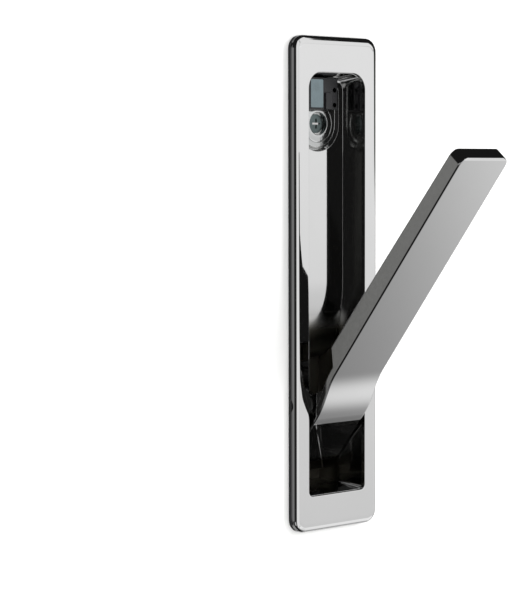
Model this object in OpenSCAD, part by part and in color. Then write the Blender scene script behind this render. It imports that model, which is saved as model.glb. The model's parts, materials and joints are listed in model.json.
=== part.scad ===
// Recessed fold-out clothes hook for a wardrobe panel or a wall lining.
// A chrome plated face plate frames a deep recess. The lever turns on a pin low in the recess:
// pressing its proud lower end swings the upper arm out, and hangers or loops hang on the arm.
// Frame: X to the right, Z up, -Y towards the room. Y = 0 is the wall's surface, and X = 0, Z = 0
// is the middle of the face plate. The lever is drawn open, resting on its stop.

/* [Face plate] */
// Height of the face plate
plate_h = 180; // [170:1:200]
// Width of the face plate
plate_w = 40.5; // [40:0.5:48]
// Radius of the face plate's corners
plate_corner_r = 5; // [3:0.5:7]
// Thickness of the plate's front wall
plate_wall = 1.7; // [1.4:0.1:1.9]
// Depth of the skirt round the plate, front wall included
skirt_depth = 2.6; // [2.2:0.1:3.2]
// Thickness of the skirt
skirt_wall = 1.6; // [1.2:0.1:1.9]
// Width of the soft front edge
edge_w = 1.8; // [1:0.1:2.2]
// Depth of the soft front edge
edge_d = 1.5; // [0.8:0.1:1.8]
// Width of the plate's face beside the opening
margin_side = 6.5; // [6:0.1:7]
// Height of the plate's face above and below the opening
margin_end = 13; // [12.4:0.1:14]
// Radius of the opening's upper corners
open_top_r = 6; // [4:0.5:8]
// Radius of the opening's lower corners
open_low_r = 2; // [1:0.5:3]

/* [Recess housing] */
// Wall thickness of the housing
wall = 1.5; // [1.2:0.1:1.8]
// Ledge between the plate's opening and the housing's mouth
mouth_ledge = 0.35; // [0.2:0.05:0.5]
// How far each wall leans in between the mouth and the shallow floor
draft = 1; // [0.5:0.1:1.2]
// Depth of the shallow floor behind the plate's front face
shallow_depth = 10.6; // [10.2:0.1:12]
// Depth of the deep chamber's floor behind the plate's front face
deep_depth = 24.2; // [23.5:0.1:28]
// Width of the corner blend round the shallow floor
floor_blend = 1.2; // [0.6:0.1:1.6]
// Height of the deep chamber's flat floor above the opening's lower edge
deep_floor_h = 48.6; // [46:0.1:52]
// Height over which the floor curves down into the deep chamber
ramp_h = 29.4; // [24:0.1:31]
// How much narrower the deep chamber is than the housing's mouth, on each side
chamber_step = 0.9; // [0.7:0.05:1]
// Panel thickness that the hook lip grips
panel_t = 18; // [16:0.5:19]
// Width of the hook lip
lip_w = 16; // [10:1:22]
// How far the hook lip reaches below the housing
lip_reach = 10.5; // [9:0.5:11.5]
// Thickness of the hook lip
lip_t = 2; // [1.5:0.1:2.4]

/* [Lever] */
// Angle between the closed and the open lever
open_angle = 40; // [34:1:40]
// Height of the pivot above the opening's lower edge
pivot_h = 33.6; // [33:0.1:34.5]
// Depth of the pivot behind the plate's front face
pivot_depth = 4.2; // [4:0.1:4.4]
// Gap between the folded arm's tip and the opening's upper edge
arm_gap = 1.9; // [1.4:0.1:6]
// Front of the arm ahead of the pivot, at the tip
tip_front = 2.9; // [2.6:0.1:3.4]
// Front of the arm ahead of the pivot, where the bend starts
root_front = 4.6; // [4.2:0.1:5]
// Front of the tail ahead of the pivot, below the bend
tail_front = 7.9; // [7.5:0.1:8.4]
// Back of the arm behind the pivot, at the tip
tip_back = 2.8; // [2.6:0.1:3]
// Back of the arm behind the pivot, at the thick part's lower end
root_back = 3.5; // [3:0.1:3.8]
// Where the bend starts, above the pivot
bend_top = 20; // [19:0.5:20.5]
// Height of the bend
bend_h = 20; // [18:0.5:22]
// Gap between the folded tail's end and the opening's lower edge
tail_end_gap = 4.5; // [4:0.1:6.5]
// Thickness of the curved plate at the bend and the tail
tail_t = 2.9; // [2.5:0.1:3.1]
// Lower end of the thick arm at its back, above the pivot
heel_back = 25.7; // [24:0.1:28]
// Lower end of the thick arm at its front, above the pivot
heel_front = 20.8; // [20:0.1:22]
// Gap between the arm's tip and the deep chamber's wall, on each side
tip_side_gap = 0.95; // [0.8:0.05:1.4]
// Gap between the arm and the deep chamber's wall where the bend starts, on each side
root_side_gap = 0.55; // [0.4:0.05:0.8]
// Gap between the tail and the deep chamber's wall, on each side
tail_side_gap = 0.3; // [0.25:0.05:0.5]
// Radius of the tip's corners
tip_r = 2.9; // [1.5:0.1:4]
// Radius of the tail's corners
tail_r = 1.2; // [0.6:0.1:2]
// Radius of the ears round the pin
ear_r = 4.4; // [4:0.1:4.6]
// Thickness of each ear
ear_t = 2.5; // [2.2:0.1:3]

/* [Pivot] */
// Radius of the pivot pin
pin_r = 2; // [1.8:0.1:2.1]
// Thickness of the bush wall
bush_wall = 0.8; // [0.6:0.1:0.9]
// Thickness of a thrust washer
washer_t = 0.45; // [0.4:0.01:0.46]
// Radius of a thrust washer
washer_r = 3.8; // [3.4:0.1:4]
// Radius of the seats cast in the housing round the pin
seat_r = 4.2; // [4:0.1:4.4]
// Radius of the access notches in the skirt
notch_r = 3.3; // [3.1:0.1:3.6]
// Radius of a retaining clip
clip_r = 3; // [2.8:0.1:3.05]
// Thickness of a retaining clip
clip_t = 0.8; // [0.6:0.1:0.9]

/* [Catch and fixing] */
// Height of the fixing screw below the opening's upper edge
fixing_drop = 18.2; // [17.5:0.1:19]
// Gap between the fixing pocket and the corner blend of the shallow floor, on each side
pocket_side_gap = 1; // [0.8:0.1:1.4]
// Depth of the fixing pocket in the shallow floor
pocket_d = 1.5; // [1.4:0.1:1.8]
// How much narrower the fixing pocket is at its bottom, on each side
pocket_lean = 1.4; // [0.8:0.1:1.6]
// Thickness of the fixing plate
fixing_t = 1.2; // [1:0.1:1.3]
// Outer radius of the dish pressed in the fixing plate
dish_r = 7.4; // [6.8:0.1:7.8]
// Radius of the fixing screw's head
screw_head_r = 3.5; // [3.3:0.1:3.8]
// Radius of the fixing screw's thread
screw_r = 2; // [1.85:0.05:2.1]
// Radius of the fixing screw's neck
neck_r = 1.7; // [1.5:0.05:1.8]
// Length of the fixing screw
screw_l = 10.5; // [10:0.1:10.6]
// How far the magnet stands in from the holder's left side
magnet_in = 1.6; // [1.2:0.1:2]
// Height of the magnet
magnet_h = 10.4; // [8:0.1:10.6]
// Gap between the magnet and the closed lever's strike plate
catch_gap = 0.3; // [0.2:0.05:0.4]
// How far the catch holder stands in from the fixing plate's sides
holder_in = 0.8; // [0.5:0.1:1.2]
// Height of the catch holder
holder_h = 11.6; // [11.2:0.1:12]
// Radius of the stop buffer
buffer_r = 4; // [3:0.1:4.2]

/* [Gasket and plate screws] */
// Thickness of the gasket between plate and wall
gasket_t = 1.5; // [1:0.1:2]
// Width of the gasket's ring
gasket_ring = 2.2; // [1.8:0.1:2.3]
// How far the gasket stands in from the skirt
gasket_inset = 0.1; // [0.05:0.05:0.3]
// Radius of the screw bosses behind the plate
boss_r = 3.5; // [3:0.1:3.6]
// Half the distance between the two bosses at one end
boss_x = 9; // [8:0.1:10]

/* [Hidden] */
$fn = 48;

// Overrun of a cut past the face it leaves
over = 0.5;
// Thickness of the thin slices that a soft edge is wrapped round
slice = 0.01;
// Radial running clearance of the bushes on the pin
run_gap = 0.05;
// Clearance of pieces that are fitted and then stay still
fit_gap = 0.03;
// Radial clearance of a screw in its through hole
hole_gap = 0.1;
// Side clearance of a thrust washer
side_gap = 0.04;
// Clearance between the open lever and its stop
stop_gap = 0.3;
// Clearance between the catch, the fixing plate and the ends of the recess
end_gap = 0.15;
// Steps in a soft edge, a corner and a curved profile
edge_steps = 5;
corner_steps = 10;
curve_steps = 16;

// Places along Y and Z
stand_off = skirt_depth + gasket_t;
front_y = -stand_off;
open_w = plate_w - 2 * margin_side;
open_h = plate_h - 2 * margin_end;
open_low_z = -open_h / 2;
open_top_z = open_h / 2;
pivot_z = open_low_z + pivot_h;
pivot_y = front_y + pivot_depth;
fixing_z = open_top_z - fixing_drop;
deep_z = open_low_z + deep_floor_h;

// Housing
mouth_w = open_w - 2 * mouth_ledge;
mouth_h = open_h - 2 * mouth_ledge;
floor_w = mouth_w - 2 * draft;
floor_h = mouth_h - 2 * draft;
outer_w = mouth_w + 2 * wall;
outer_h = open_h + 2 * wall;
low_z = open_low_z + mouth_ledge - wall;
chamber_w = mouth_w - 2 * chamber_step;
seat_x = chamber_w / 2;
pad_t = 1.1;
clip_x = outer_w / 2 + pad_t;
pin_end = 0.4;
pin_half = clip_x + clip_t + pin_end;

// Screw bosses and lugs at both ends
boss_top_gap = 0.5;
boss_z = outer_h / 2 + boss_top_gap + boss_r;
boss_depth = 6;
lug_t = 1.5;
lug_w = 7;
lug_reach = 1;
plate_screw_r = 1.45;
plate_screw_l = 5;
plate_head_r = 2.8;
plate_head_t = 1.9;
slot_w = 0.8;
slot_d = 0.7;

// Lever and its ears
arm_reach = open_top_z - pivot_z - arm_gap;
tail_reach = pivot_h - tail_end_gap;
tip_w = chamber_w - 2 * tip_side_gap;
root_w = chamber_w - 2 * root_side_gap;
tail_w = chamber_w - 2 * tail_side_gap;
ear_x = seat_x - washer_t - 2 * side_gap - ear_t;
bush_r = pin_r + run_gap + bush_wall;
ear_top = 12.5;
ear_low = 9.5;
ear_root = 1.2;

// Catch, fixing plate and their fasteners
pocket_r = floor_w / 2 - floor_blend - pocket_side_gap;
ceiling_z = open_top_z - mouth_ledge - draft;
pocket_top_z = ceiling_z - floor_blend - end_gap;
pocket_top_r = 4.5;
seat_depth = shallow_depth + pocket_d;
fixing_front = seat_depth - fixing_t;
fixing_in = pocket_lean + end_gap;
fixing_r = pocket_r - fixing_in;
holder_w = 2 * (fixing_r - holder_in);
magnet_w = holder_w / 2 - magnet_in;
strike_t = 0.85;
strike_proud = 0.2;
strike_w = 10;
strike_h = 9;
strike_back = tip_back + strike_proud;
strike_in = 1.7;
strike_top = arm_reach - strike_in;
magnet_front = pivot_depth + strike_back + catch_gap;
magnet_mid_z = ceiling_z - end_gap - holder_h / 2;
holder_step = 0.12;
holder_front = magnet_front + holder_step;
holder_low_z = magnet_mid_z - holder_h / 2;
base_step = 0.8;
base_front = holder_front + base_step;
foot_front = shallow_depth - floor_blend - fit_gap;
foot_h = pocket_top_z - fixing_in - holder_low_z;
frame_t = 0.4;
pad_gap = 1.3;
pad_h = 6.2;
rivet_strip = 3.2;
rivet_r = 0.9;
rivet_in = 1.6;
rivet_low = 1.7;
rivet_head_t = 0.35;
rivet_head_r = 1.3;
strike_rivet_x = 3;
strike_rivet_l = 4;
dish_hole_r = 4.2;
lip_in = 0.4;
lip_slope = 0.5;
lip_rise = 0.45;
head_h = 1.5;
head_sink = 0.5;
cross_w = 0.9;
cross_l = 4;
cross_d = 1;
point_l = 3;
thread_gap = 0.1;
neck_l = seat_depth + wall + thread_gap - fixing_front - head_sink;

// Stop buffer
buffer_low = 21.5;
stem_r = 1.6;
stem_head_r = 2.4;
stem_head_t = 1;

gasket_w = plate_w - 2 * gasket_inset;
gasket_h = plate_h - 2 * gasket_inset;

// Sets children that are drawn flat (x right, y up, z outward) upright, z = 0 at a depth behind the front
module at_depth(depth) {
  translate([0, front_y + depth, 0]) rotate([90, 0, 0]) children();
}

// Puts children that are drawn for the closed lever, with the pin at the origin, where the lever is
module on_lever() {
  translate([0, pivot_y, pivot_z]) rotate([open_angle, 0, 0]) children();
}

// Extrudes an outline of [depth, height] points along X, centred
module across(width) {
  rotate([90, 0, 90]) translate([0, 0, -width / 2]) linear_extrude(width) children();
}

// Points of a quarter circle round [x, y]
function arc_points(x, y, r, from_a, to_a) =
  [for (i = [0:corner_steps])
    let (a = from_a + (to_a - from_a) * i / corner_steps) [x + r * cos(a), y + r * sin(a)]];

// Upright rectangle with its own radius for the upper and the lower corners
module rounded_outline(w, h, top_r, low_r) {
  polygon(concat(
    arc_points(w / 2 - top_r, h / 2 - top_r, top_r, 0, 90),
    arc_points(top_r - w / 2, h / 2 - top_r, top_r, 90, 180),
    arc_points(low_r - w / 2, low_r - h / 2, low_r, 180, 270),
    arc_points(w / 2 - low_r, low_r - h / 2, low_r, 270, 360)
  ));
}

// Repeats children at the four plate screws
module at_plate_screws() {
  for (x = [-boss_x, boss_x], y = [-boss_z, boss_z]) translate([x, y, 0]) children();
}

// Repeats children on the left and the right of the pin's axis, drawn along +Z from the middle
module along_pin() {
  for (side = [-90, 90]) translate([0, pivot_y, pivot_z]) rotate([0, side, 0]) children();
}

module face_plate() {
  color([0.80, 0.80, 0.82]) {
    difference() {
      union() {
        at_depth(skirt_depth)
          linear_extrude(skirt_depth - edge_d)
            rounded_outline(plate_w, plate_h, plate_corner_r, plate_corner_r);
        at_depth(edge_d)
          hull()
            for (i = [0:edge_steps]) {
              a = 90 * i / edge_steps;
              in = edge_w * (1 - cos(a));
              translate([0, 0, (edge_d - slice) * sin(a)]) linear_extrude(slice)
                rounded_outline(plate_w - 2 * in, plate_h - 2 * in, plate_corner_r - in, plate_corner_r - in);
            }
      }
      // The opening
      at_depth(skirt_depth + over)
        linear_extrude(skirt_depth + 2 * over) rounded_outline(open_w, open_h, open_top_r, open_low_r);
      // The hollow behind the front wall
      at_depth(skirt_depth + over)
        linear_extrude(skirt_depth + over - plate_wall)
          rounded_outline(plate_w - 2 * skirt_wall, plate_h - 2 * skirt_wall,
            plate_corner_r - skirt_wall, plate_corner_r - skirt_wall);
      // The notches that leave room for the pin's ends
      along_pin() cylinder(r = notch_r, h = plate_w);
    }
    difference() {
      at_depth(boss_depth) at_plate_screws() cylinder(r = boss_r, h = boss_depth - plate_wall);
      at_depth(boss_depth + over)
        at_plate_screws() cylinder(r = plate_screw_r + fit_gap, h = plate_screw_l - lug_t + over + fit_gap);
    }
  }
}

// Depth of the recess floor at a height over the deep floor's upper end, and the outline of the deep part
function ramp_depth(t) = shallow_depth + (deep_depth - shallow_depth) * (1 - sin(90 * t));
function deep_outline(grow, mouth) = concat(
  [for (i = [0:curve_steps]) let (t = i / curve_steps)
    [front_y + ramp_depth(t) + grow, deep_z + grow + ramp_h * (1 - cos(90 * t))]],
  [[front_y + mouth, deep_z + grow + ramp_h], [front_y + mouth, open_low_z + mouth_ledge - grow],
    [front_y + deep_depth + grow, open_low_z + mouth_ledge - grow]]
);

// Outline round the fixing screw and the catch, let out by grow: round below, two corners above
module pocket_outline(grow) {
  r = pocket_r + grow;
  top = pocket_top_z + grow;
  corner = pocket_top_r + grow;
  translate([0, fixing_z]) circle(r = r);
  translate([-r, fixing_z]) square([2 * r, top - corner - fixing_z]);
  polygon(concat(
    arc_points(r - corner, top - corner, corner, 0, 90),
    arc_points(corner - r, top - corner, corner, 90, 180)
  ));
}

// Repeats children at the two rivets of the catch
module at_catch_rivets() {
  for (z = [rivet_low, foot_h - rivet_low])
    translate([holder_w / 2 - rivet_in, holder_low_z + z, 0]) children();
}

module housing_mouth_cut() {
  at_depth(0) hull() {
    translate([0, 0, -plate_wall]) linear_extrude(over)
      rounded_outline(mouth_w, mouth_h, open_top_r, open_low_r);
    translate([0, 0, floor_blend - shallow_depth]) linear_extrude(slice)
      rounded_outline(floor_w, floor_h, open_top_r, open_low_r);
    translate([0, 0, -shallow_depth]) linear_extrude(slice)
      rounded_outline(floor_w - 2 * floor_blend, floor_h - 2 * floor_blend,
        open_top_r - floor_blend, open_low_r);
  }
}

module recess_housing() {
  color([0.55, 0.55, 0.57]) difference() {
    union() {
      at_depth(shallow_depth + wall)
        linear_extrude(shallow_depth + wall - plate_wall)
          rounded_outline(outer_w, outer_h, open_top_r + wall, open_low_r + wall);
      across(outer_w) polygon(deep_outline(wall, plate_wall));
      at_depth(seat_depth + wall) linear_extrude(pocket_d + wall) pocket_outline(0);
      // Lugs for the screws that hold the face plate
      at_depth(boss_depth + lug_t)
        for (x = [-boss_x, boss_x]) translate([x - lug_w / 2, -boss_z - lug_reach])
          cube([lug_w, 2 * (boss_z + lug_reach), lug_t]);
      // Pads outside and seats inside, round the pin
      along_pin() cylinder(r = seat_r, h = clip_x);
      // Lip that hooks behind the panel
      translate([-lip_w / 2, panel_t, low_z - lip_reach]) cube([lip_w, lip_t, lip_reach + wall]);
      translate([-lip_w / 2, front_y + shallow_depth, low_z])
        cube([lip_w, panel_t + lip_t - front_y - shallow_depth, wall]);
    }
    // Nothing stands in front of the back of the face plate's wall
    translate([-plate_w / 2, front_y - over, -plate_h / 2]) cube([plate_w, plate_wall + over, plate_h]);
    difference() {
      union() {
        housing_mouth_cut();
        across(chamber_w) polygon(deep_outline(0, plate_wall - over));
      }
      along_pin() translate([0, 0, seat_x]) cylinder(r = seat_r, h = clip_x - seat_x);
    }
    translate([-clip_x - over, pivot_y, pivot_z]) rotate([0, 90, 0])
      cylinder(r = pin_r + fit_gap, h = 2 * (clip_x + over));
    // The pocket, and the fixing screw's hole with its countersink
    hull() {
      at_depth(shallow_depth) linear_extrude(slice) pocket_outline(0);
      at_depth(seat_depth) linear_extrude(slice) pocket_outline(-pocket_lean);
    }
    at_depth(seat_depth + wall + over)
      translate([0, fixing_z, 0]) cylinder(r = screw_r + hole_gap, h = wall + 2 * over);
    at_depth(fixing_front + head_sink + head_h) translate([0, fixing_z, 0])
      cylinder(r1 = screw_r + hole_gap, r2 = screw_head_r + hole_gap, h = head_h);
    // Holes of the catch rivets and of the buffer's stem
    at_depth(seat_depth + wall + over)
      at_catch_rivets() cylinder(r = rivet_r + fit_gap, h = wall + 2 * over);
    at_depth(deep_depth + wall + over)
      translate([0, pivot_z - buffer_low, 0]) cylinder(r = stem_r + fit_gap, h = wall + 2 * over);
    at_depth(boss_depth + lug_t + over) at_plate_screws()
      cylinder(r = plate_screw_r + hole_gap, h = lug_t + 2 * over);
  }
}

module wall_gasket() {
  color([0.08, 0.08, 0.09]) at_depth(stand_off) difference() {
    linear_extrude(gasket_t)
      rounded_outline(gasket_w, gasket_h, plate_corner_r - gasket_inset, plate_corner_r - gasket_inset);
    translate([0, 0, -over]) linear_extrude(gasket_t + 2 * over)
      rounded_outline(gasket_w - 2 * gasket_ring, gasket_h - 2 * gasket_ring,
        plate_corner_r - gasket_inset - gasket_ring, plate_corner_r - gasket_inset - gasket_ring);
  }
}

module plate_screws() {
  color([0.62, 0.62, 0.60]) at_depth(boss_depth + lug_t + plate_head_t) at_plate_screws() difference() {
    union() {
      cylinder(r = plate_head_r, h = plate_head_t);
      cylinder(r = plate_screw_r, h = plate_head_t + plate_screw_l);
    }
    for (turn = [0, 90]) rotate([0, 0, turn]) translate([-plate_head_r / 2, -slot_w / 2, -over])
      cube([plate_head_r, slot_w, slot_d + over]);
  }
}

module pivot_pin() {
  color([0.70, 0.70, 0.72]) translate([-pin_half, pivot_y, pivot_z]) rotate([0, 90, 0])
    cylinder(r = pin_r, h = 2 * pin_half);
}

module retaining_clips() {
  color([0.35, 0.36, 0.38]) along_pin() translate([0, 0, clip_x + fit_gap]) difference() {
    cylinder(r = clip_r, h = clip_t);
    translate([0, 0, -over]) cylinder(r = pin_r + fit_gap, h = clip_t + 2 * over);
  }
}

module thrust_washer(side) {
  color([0.14, 0.14, 0.14]) translate([0, pivot_y, pivot_z]) rotate([0, side * 90, 0])
    translate([0, 0, seat_x - side_gap - washer_t]) difference() {
      cylinder(r = washer_r, h = washer_t);
      translate([0, 0, -over]) cylinder(r = pin_r + run_gap, h = washer_t + 2 * over);
    }
}

module fixing_plate() {
  color([0.68, 0.71, 0.73]) at_depth(seat_depth) difference() {
    linear_extrude(fixing_t) pocket_outline(-fixing_in);
    translate([0, fixing_z, 0]) cylinder(r1 = dish_hole_r, r2 = dish_r, h = fixing_t);
    translate([0, fixing_z, -over]) cylinder(r = dish_hole_r, h = fixing_t);
    translate([0, 0, -over]) at_catch_rivets() cylinder(r = rivet_r + fit_gap, h = fixing_t + 2 * over);
  }
}

module screw_cup() {
  head_low_r = neck_r + (screw_head_r - neck_r) * (head_h - fixing_t + head_sink) / head_h;
  color([0.74, 0.75, 0.76]) at_depth(seat_depth) translate([0, fixing_z, 0])
    rotate_extrude() polygon([
      [head_low_r + run_gap, 0], [dish_hole_r - fit_gap, 0], [dish_r - 2 * fit_gap, fixing_t],
      [screw_head_r + lip_in + lip_slope, fixing_t + lip_rise], [screw_head_r + lip_in, fixing_t - head_sink],
      [screw_head_r + run_gap, fixing_t - head_sink]
    ]);
}

module fixing_screw() {
  color([0.66, 0.67, 0.68]) at_depth(fixing_front + head_sink) translate([0, fixing_z, 0]) difference() {
    rotate_extrude() polygon([
      [0, 0], [screw_head_r, 0], [neck_r, -head_h], [neck_r, -neck_l], [screw_r, -neck_l],
      [screw_r, point_l - screw_l], [0, -screw_l]
    ]);
    for (turn = [0, 90]) rotate([0, 0, turn]) translate([-cross_l / 2, -cross_w / 2, -cross_d])
      cube([cross_l, cross_w, cross_d + over]);
  }
}

module catch_holder() {
  color([0.06, 0.06, 0.07]) difference() {
    union() {
      // Foot in the pocket, base, frame round the magnet, and pad beside it
      at_depth(fixing_front) translate([-holder_w / 2, holder_low_z, 0])
        cube([holder_w, foot_h, fixing_front - base_front]);
      at_depth(foot_front) translate([-holder_w / 2, holder_low_z, 0])
        cube([holder_w, holder_h, foot_front - base_front]);
      at_depth(foot_front) translate([-holder_w / 2, holder_low_z, 0])
        cube([holder_w / 2 + frame_t, holder_h, foot_front - holder_front]);
      at_depth(foot_front) translate([pad_gap, holder_low_z, 0])
        cube([holder_w / 2 - rivet_strip - pad_gap, pad_h, foot_front - holder_front]);
    }
    at_depth(foot_front) translate([-magnet_w - fit_gap, magnet_mid_z - magnet_h / 2 - fit_gap, 0])
      cube([magnet_w + 2 * fit_gap, magnet_h + 2 * fit_gap, foot_front - holder_front + over]);
    at_depth(fixing_front + over) at_catch_rivets()
      cylinder(r = rivet_r + fit_gap, h = fixing_front - holder_front + 2 * over);
    // The foot leaves room for the raised cup
    at_depth(seat_depth) translate([0, fixing_z, 0])
      cylinder(r = dish_r + fit_gap, h = seat_depth - foot_front);
  }
}

module catch_magnet() {
  color([0.58, 0.64, 0.66]) at_depth(foot_front)
    translate([-magnet_w, magnet_mid_z - magnet_h / 2, 0])
      cube([magnet_w, magnet_h, foot_front - magnet_front]);
}

module catch_rivets() {
  color([0.45, 0.46, 0.48]) at_depth(seat_depth + wall + rivet_head_t) at_catch_rivets() {
    cylinder(r = rivet_head_r, h = rivet_head_t);
    cylinder(r = rivet_r, h = seat_depth + wall - base_front + rivet_head_t);
  }
}

module stop_buffer() {
  color([0.10, 0.10, 0.11]) {
    difference() {
      at_depth(deep_depth) translate([0, pivot_z - buffer_low, 0]) cylinder(r = buffer_r, h = deep_depth);
      // The top lies parallel to the back of the open tail
      on_lever() translate([-plate_w / 2, -plate_h, -plate_h])
        cube([plate_w, plate_h + tail_t - tail_front + stop_gap, 2 * plate_h]);
    }
    at_depth(deep_depth + wall + stem_head_t) translate([0, pivot_z - buffer_low, 0]) {
      cylinder(r = stem_r, h = wall + stem_head_t + fit_gap);
      cylinder(r = stem_head_r, h = stem_head_t);
    }
  }
}

// Front of the lever ahead of the pin, at a height above the pin
function bend_share(t) = (1 - cos(180 * t)) / 2;
function front_at(z) =
  z > bend_top ? root_front + (tip_front - root_front) * (z - bend_top) / (arm_reach - bend_top)
  : z < bend_top - bend_h ? tail_front
  : root_front + (tail_front - root_front) * bend_share((bend_top - z) / bend_h);

function lever_side() = concat(
  [[-tip_front, arm_reach]],
  [for (i = [0:curve_steps]) let (z = bend_top - bend_h * i / curve_steps) [-front_at(z), z]],
  [[-tail_front, -tail_reach], [tail_t - tail_front, -tail_reach]],
  [for (i = [curve_steps:-1:0]) let (z = bend_top - bend_h * i / curve_steps) [tail_t - front_at(z), z]],
  [[tail_t - front_at(heel_front), heel_front], [root_back, heel_back], [tip_back, arm_reach]]
);

module lever_plan() {
  polygon(concat(
    [[-root_w / 2, bend_top]],
    arc_points(tip_r - tip_w / 2, arm_reach - tip_r, tip_r, 180, 90),
    arc_points(tip_w / 2 - tip_r, arm_reach - tip_r, tip_r, 90, 0),
    [[root_w / 2, bend_top]],
    arc_points(tail_w / 2 - tail_r, tail_r - tail_reach, tail_r, 0, -90),
    arc_points(tail_r - tail_w / 2, tail_r - tail_reach, tail_r, 270, 180)
  ));
}

module lever() {
  color([0.82, 0.82, 0.84]) on_lever() difference() {
    union() {
      intersection() {
        across(plate_w) polygon(lever_side());
        translate([0, plate_w / 2, 0]) rotate([90, 0, 0]) linear_extrude(plate_w) lever_plan();
      }
      // Ears that carry the lever on the pin
      for (side = [-1, 1]) translate([side * (ear_x + ear_t / 2), 0, 0]) across(ear_t) {
        circle(r = ear_r);
        polygon([[0, ear_r], [ear_root - front_at(ear_top), ear_top],
          [ear_root - front_at(0), 0], [ear_root - front_at(0), -ear_low], [0, -ear_r]]);
      }
    }
    translate([-plate_w / 2, 0, 0]) rotate([0, 90, 0]) cylinder(r = bush_r + fit_gap, h = plate_w);
    // Seat of the strike plate and its rivets
    translate([-strike_w / 2 - fit_gap, strike_back - strike_t - fit_gap, strike_top - strike_h - fit_gap])
      cube([strike_w + 2 * fit_gap, strike_t + over, strike_h + 2 * fit_gap]);
    at_strike_rivets() translate([0, 0, -over])
      cylinder(r = rivet_r + fit_gap, h = strike_rivet_l + over + fit_gap);
  }
}

// Repeats children at the strike plate's rivets, drawn from the strike's face into the lever
module at_strike_rivets() {
  for (x = [-strike_rivet_x, strike_rivet_x])
    translate([x, strike_back, strike_top - strike_h / 2]) rotate([90, 0, 0]) children();
}

module ear_bush(side) {
  color([0.16, 0.16, 0.16]) on_lever() rotate([0, side * 90, 0]) translate([0, 0, ear_x]) difference() {
    cylinder(r = bush_r, h = ear_t);
    translate([0, 0, -over]) cylinder(r = pin_r + run_gap, h = ear_t + 2 * over);
  }
}

module strike_plate() {
  color([0.60, 0.62, 0.64]) on_lever() difference() {
    translate([-strike_w / 2, strike_back - strike_t, strike_top - strike_h])
      cube([strike_w, strike_t, strike_h]);
    at_strike_rivets() translate([0, 0, -over]) cylinder(r = rivet_r + fit_gap, h = strike_t + 2 * over);
  }
}

module strike_rivets() {
  color([0.50, 0.51, 0.52]) on_lever() at_strike_rivets() cylinder(r = rivet_r, h = strike_rivet_l);
}

face_plate();
recess_housing();
wall_gasket();
plate_screws();
pivot_pin();
retaining_clips();
thrust_washer(-1);  // thrust_washer_left
thrust_washer(1);  // thrust_washer_right
fixing_plate();
screw_cup();
fixing_screw();
catch_holder();
catch_magnet();
catch_rivets();
stop_buffer();
lever();
ear_bush(-1);  // ear_bush_left
ear_bush(1);  // ear_bush_right
strike_plate();
strike_rivets();
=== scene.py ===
# %% [markdown]
# # A recessed folding clothes hook in bright chrome
# The hook is a die-cast frame, a recess behind it and a lever that swings out of the recess. Its
# look is almost only reflections, so smooth surfaces and the studio round it matter more than any
# colour. This lesson builds each smooth casting as a surface worked out with numpy, gives it a
# plated finish, and then sets up the studio that the chrome mirrors.

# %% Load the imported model
import json
import math

import bmesh
import bpy
import numpy as np
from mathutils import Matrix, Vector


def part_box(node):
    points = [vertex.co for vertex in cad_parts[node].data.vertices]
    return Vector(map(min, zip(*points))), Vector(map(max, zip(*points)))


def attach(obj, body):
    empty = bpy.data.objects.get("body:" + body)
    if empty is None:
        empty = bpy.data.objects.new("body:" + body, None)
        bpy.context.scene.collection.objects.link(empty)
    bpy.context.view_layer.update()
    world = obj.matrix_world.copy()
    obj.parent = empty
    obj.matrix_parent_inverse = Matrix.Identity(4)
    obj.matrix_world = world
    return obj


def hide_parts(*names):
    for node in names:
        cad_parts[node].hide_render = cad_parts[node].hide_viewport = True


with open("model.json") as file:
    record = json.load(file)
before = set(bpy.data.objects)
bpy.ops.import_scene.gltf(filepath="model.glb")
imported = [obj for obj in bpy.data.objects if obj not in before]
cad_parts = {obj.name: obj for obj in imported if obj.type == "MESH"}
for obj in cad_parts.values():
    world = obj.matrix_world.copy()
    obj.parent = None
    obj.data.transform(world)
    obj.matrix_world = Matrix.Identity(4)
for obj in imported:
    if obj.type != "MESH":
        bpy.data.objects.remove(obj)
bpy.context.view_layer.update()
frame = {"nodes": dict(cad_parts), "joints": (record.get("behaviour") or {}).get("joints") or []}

MM = 0.001
hinge = frame["joints"][0]

# %% [markdown]
# ## Sizes from the frame
# Every casting is drawn in millimetres in a frame of its own: x to the right, up along the wall,
# and depth measured back from the plate's front face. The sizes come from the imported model, so
# the surfaces land exactly where the solids are.

# %% Sizes that the castings share
def corners(node_name):
    """A solid's low and high corners, in millimetres."""
    return [np.array(corner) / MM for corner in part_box(node_name)]


plate_low, plate_high = corners("face_plate")
housing_low = corners("recess_housing")[0]
gasket_low = corners("wall_gasket")[0]
PLATE_W = plate_high[0] - plate_low[0]
PLATE_H = plate_high[2] - plate_low[2]
FRONT_Y = plate_low[1]
PIVOT = np.array(hinge["pos_m"]) / MM
OPEN_ANGLE = -hinge["range_deg"][0]

PLATE_CORNER = 5.0
PLATE_WALL = 1.7
SKIRT_DEPTH = -FRONT_Y + gasket_low[1]
SKIRT_WALL = 1.6
SIDE_BAR, END_BAR = 6.5, 13.0
OPEN_W, OPEN_H = PLATE_W - 2 * SIDE_BAR, PLATE_H - 2 * END_BAR
OPEN_TOP_R, OPEN_LOW_R = 6.0, 2.0
print("plate", PLATE_W, PLATE_H, "skirt", SKIRT_DEPTH, "pivot", PIVOT, "open angle", OPEN_ANGLE)


# %% [markdown]
# ## Tools for surfaces
# A surface is a grid of points: one index runs along a profile and the other round a loop. One
# helper adds the faces to such a grid, and others lay rounded outlines with the same number of
# points, so that any two outlines can be joined by a strip of four-sided faces.

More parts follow.
